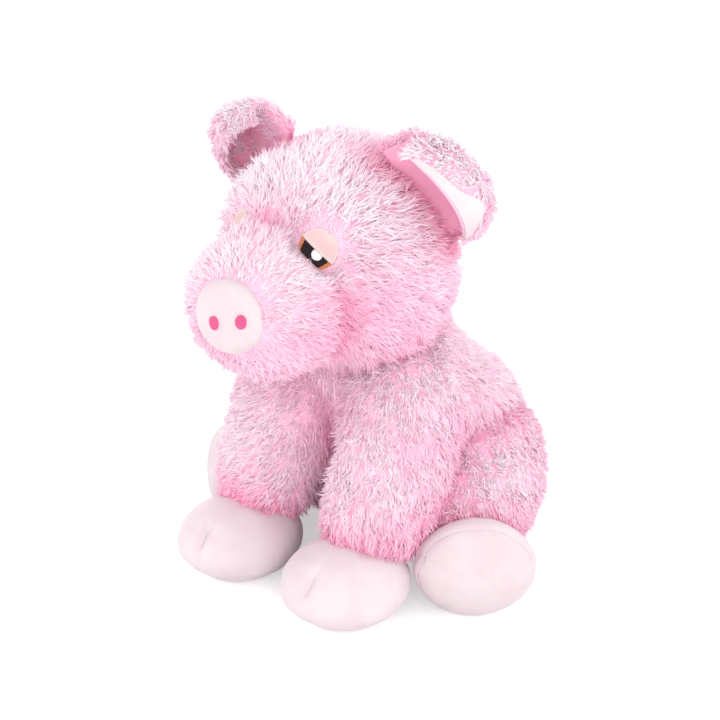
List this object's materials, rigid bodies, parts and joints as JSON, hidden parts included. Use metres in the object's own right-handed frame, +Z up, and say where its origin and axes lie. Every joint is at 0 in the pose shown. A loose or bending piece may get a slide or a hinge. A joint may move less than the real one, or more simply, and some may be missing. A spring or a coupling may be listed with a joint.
{
  "type": "plush pig",
  "caption": "Sitting stuffed plush pig with a jointed head, folded ears, four soft legs with smooth feet, a round snout and a curled tail.",
  "frame": {"origin": "middle of the seat, on the surface that the pig sits on", "axes": "+Z up, the pig faces -Y, its left side is +X"},
  "size_m": [0.1966, 0.2115, 0.2233],
  "materials": {
    "long_pile": "soft long-pile plush in pale pink, deeper pink at the roots",
    "velour": "short smooth velour in pale cream pink",
    "fibre_fill": "polyester fibre stuffing, inside the skins",
    "iris_thread": "satin-stitch embroidery thread, orange brown",
    "pupil_thread": "satin-stitch embroidery thread, nearly black",
    "lid_thread": "satin-stitch embroidery thread, dusty pink with a cream edge",
    "white_thread": "satin-stitch embroidery thread, white",
    "nostril_thread": "satin-stitch embroidery thread, deep pink"
  },
  "bodies": {
    "body": {"body_skin": "long_pile", "body_stuffing": "fibre_fill"},
    "neck": {"neck_stuffing": "fibre_fill"},
    "head": {"head_skin": "long_pile", "head_stuffing": "fibre_fill", "muzzle_skin": "long_pile", "snout_disc": "velour", "nostril_left": "nostril_thread", "nostril_right": "nostril_thread", "eyelid_left": "lid_thread", "eyelid_right": "lid_thread", "iris_left": "iris_thread", "iris_right": "iris_thread", "pupil_left": "pupil_thread", "pupil_right": "pupil_thread", "highlight_left": "white_thread", "highlight_right": "white_thread"},
    "ear_left": {"ear_back_left": "long_pile", "ear_lining_left": "velour"},
    "ear_right": {"ear_back_right": "long_pile", "ear_lining_right": "velour"},
    "front_leg_left": {"front_leg_left": "long_pile", "front_foot_left": "velour", "front_sole_left": "velour", "front_leg_stuffing_left": "fibre_fill"},
    "front_leg_right": {"front_leg_right": "long_pile", "front_foot_right": "velour", "front_sole_right": "velour", "front_leg_stuffing_right": "fibre_fill"},
    "hind_leg_left": {"hind_leg_left": "long_pile", "hind_foot_left": "velour", "hind_sole_left": "velour", "hind_leg_stuffing_left": "fibre_fill"},
    "hind_leg_right": {"hind_leg_right": "long_pile", "hind_foot_right": "velour", "hind_sole_right": "velour", "hind_leg_stuffing_right": "fibre_fill"},
    "tail": {"tail": "long_pile"}
  },
  "joints": [
    {"name": "neck_nod", "type": "hinge", "parent": "body", "child": "neck", "pos_m": [0, -0.012, 0.088], "axis": [1, 0, 0], "range_deg": [-10, 0], "stiffness_Nm_per_rad": 0.5},
    {"name": "neck_turn", "type": "hinge", "parent": "neck", "child": "head", "pos_m": [0, -0.012, 0.088], "axis": [0, -0.3746, 0.9272], "range_deg": [-20, 20], "stiffness_Nm_per_rad": 0.2},
    {"name": "ear_left_flop", "type": "hinge", "parent": "head", "child": "ear_left", "pos_m": [0.03535, -0.03747, 0.18933], "axis": [0.3761, 0.3966, -0.8374], "range_deg": [-15, 15], "stiffness_Nm_per_rad": 0.02},
    {"name": "ear_right_flop", "type": "hinge", "parent": "head", "child": "ear_right", "pos_m": [-0.03535, -0.03747, 0.18933], "axis": [0.3761, -0.3966, 0.8374], "range_deg": [-15, 15], "stiffness_Nm_per_rad": 0.02},
    {"name": "front_leg_left_swing", "type": "hinge", "parent": "body", "child": "front_leg_left", "pos_m": [0.035, -0.038, 0.088], "axis": [-1, 0, 0], "range_deg": [0, 40], "stiffness_Nm_per_rad": 0.15},
    {"name": "front_leg_right_swing", "type": "hinge", "parent": "body", "child": "front_leg_right", "pos_m": [-0.035, -0.038, 0.088], "axis": [-1, 0, 0], "range_deg": [0, 40], "stiffness_Nm_per_rad": 0.15},
    {"name": "hind_leg_left_splay", "type": "hinge", "parent": "body", "child": "hind_leg_left", "pos_m": [0.042, 0.008, 0.044], "axis": [0, 0, 1], "range_deg": [0, 25], "stiffness_Nm_per_rad": 0.15},
    {"name": "hind_leg_right_splay", "type": "hinge", "parent": "body", "child": "hind_leg_right", "pos_m": [-0.042, 0.008, 0.044], "axis": [0, 0, -1], "range_deg": [0, 25], "stiffness_Nm_per_rad": 0.15},
    {"name": "tail_wag", "type": "hinge", "parent": "body", "child": "tail", "pos_m": [0, 0.06113, 0.04137], "axis": [0, 0, 1], "range_deg": [-20, 20], "stiffness_Nm_per_rad": 0.003}
  ]
}
